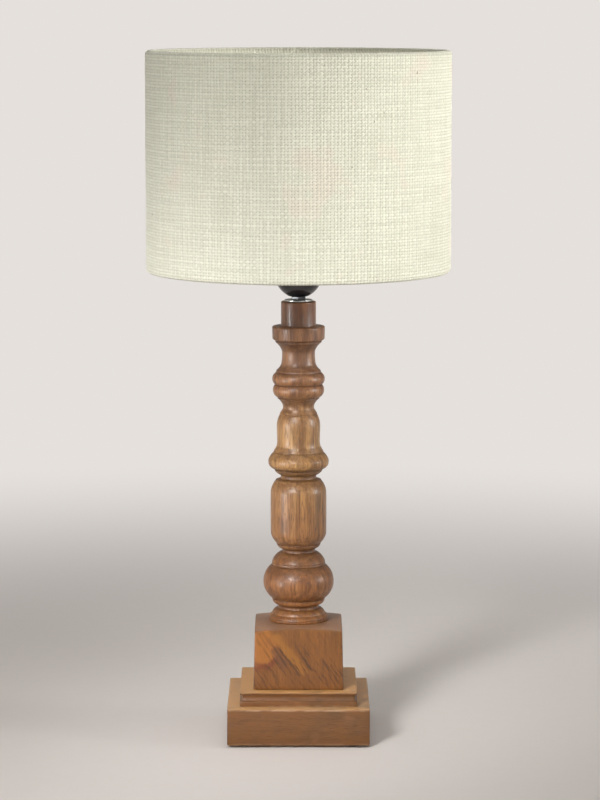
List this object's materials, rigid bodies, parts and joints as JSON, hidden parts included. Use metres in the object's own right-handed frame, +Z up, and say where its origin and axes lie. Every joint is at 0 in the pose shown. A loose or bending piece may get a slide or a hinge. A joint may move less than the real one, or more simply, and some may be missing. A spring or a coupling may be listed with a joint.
{
  "type": "table lamp",
  "caption": "Table lamp: turned wooden column on a two-tier square plinth, screw lampholder with bulb, and a fabric drum shade clamped by a screwed ring.",
  "frame": {"origin": "on the table top under the column's axis, at the centre of the footprint", "axes": "+Z up along the column, front towards -Y, cord inlet towards +Y, +X to the right seen from the front"},
  "size_m": [0.3048, 0.3048, 0.6928],
  "materials": {
    "column_wood": "satin clear lacquer, upright grain",
    "plinth_wood": "satin clear lacquer, level grain, worn light edges",
    "dowel_wood": "bare beech",
    "felt": "pressed felt",
    "zinc_steel": "bright zinc plating",
    "dark_steel": "blackened",
    "bakelite": "glossy black moulding",
    "porcelain": "glazed",
    "brass": "stamped",
    "nylon": "moulded",
    "black_glass": "fused glass",
    "nickel": "nickel plated",
    "bulb_plastic": "satin white",
    "bulb_frost": "frosted",
    "jute": "coarse plain weave",
    "lining": "white laminate sheet",
    "coated_wire": "white powder coat"
  },
  "bodies": {
    "base": {"foot_pad_front_left": "felt", "foot_pad_front_right": "felt", "foot_pad_rear_left": "felt", "foot_pad_rear_right": "felt", "plinth_lower": "plinth_wood", "plinth_upper": "plinth_wood", "plinth_screw_front_left": "zinc_steel", "plinth_screw_front_right": "zinc_steel", "plinth_screw_rear_left": "zinc_steel", "plinth_screw_rear_right": "zinc_steel", "dowel_left": "dowel_wood", "dowel_right": "dowel_wood", "turned_column": "column_wood", "cord_bushing": "nylon", "threaded_pipe": "zinc_steel", "base_washer": "zinc_steel", "base_nut": "zinc_steel", "top_washer": "zinc_steel", "top_nut": "dark_steel", "lampholder_cap": "bakelite", "cap_grub_screw": "zinc_steel", "lampholder_core": "porcelain", "terminal_screw_line": "brass", "terminal_screw_neutral": "brass", "lampholder_skirt": "bakelite", "screw_shell": "brass", "centre_contact": "brass"},
    "shade": {"shade_fabric": "jute", "shade_lining": "lining", "bottom_hoop": "coated_wire", "top_hoop": "coated_wire", "fitter_ring": "coated_wire", "spoke_1": "coated_wire", "spoke_2": "coated_wire", "spoke_3": "coated_wire"},
    "clamp_ring": {"shade_clamp_ring": "bakelite"},
    "bulb_lift": {"bulb_tip_contact": "brass"},
    "bulb": {"bulb_insulator": "black_glass", "bulb_screw_cap": "nickel", "bulb_housing": "bulb_plastic", "bulb_globe": "bulb_frost"}
  },
  "joints": [
    {"name": "shade_swivel", "type": "hinge", "parent": "base", "child": "shade", "pos_m": [0, 0, 0.4791], "axis": [0, 0, 1], "continuous": true},
    {"name": "clamp_ring_travel", "type": "slide", "parent": "base", "child": "clamp_ring", "axis": [0, 0, 1], "range_m": [0, 0.018]},
    {"name": "bulb_rise", "type": "slide", "parent": "base", "child": "bulb_lift", "axis": [0, 0, 1], "range_m": [0, 0.0165]},
    {"name": "bulb_turn", "type": "hinge", "parent": "bulb_lift", "child": "bulb", "pos_m": [0, 0, 0.4831], "axis": [0, 0, 1], "range_deg": [0, 1620]}
  ],
  "couplings": [
    {"joint": "bulb_rise", "follows": "bulb_turn", "m_per_rad": 0.00057757}
  ]
}
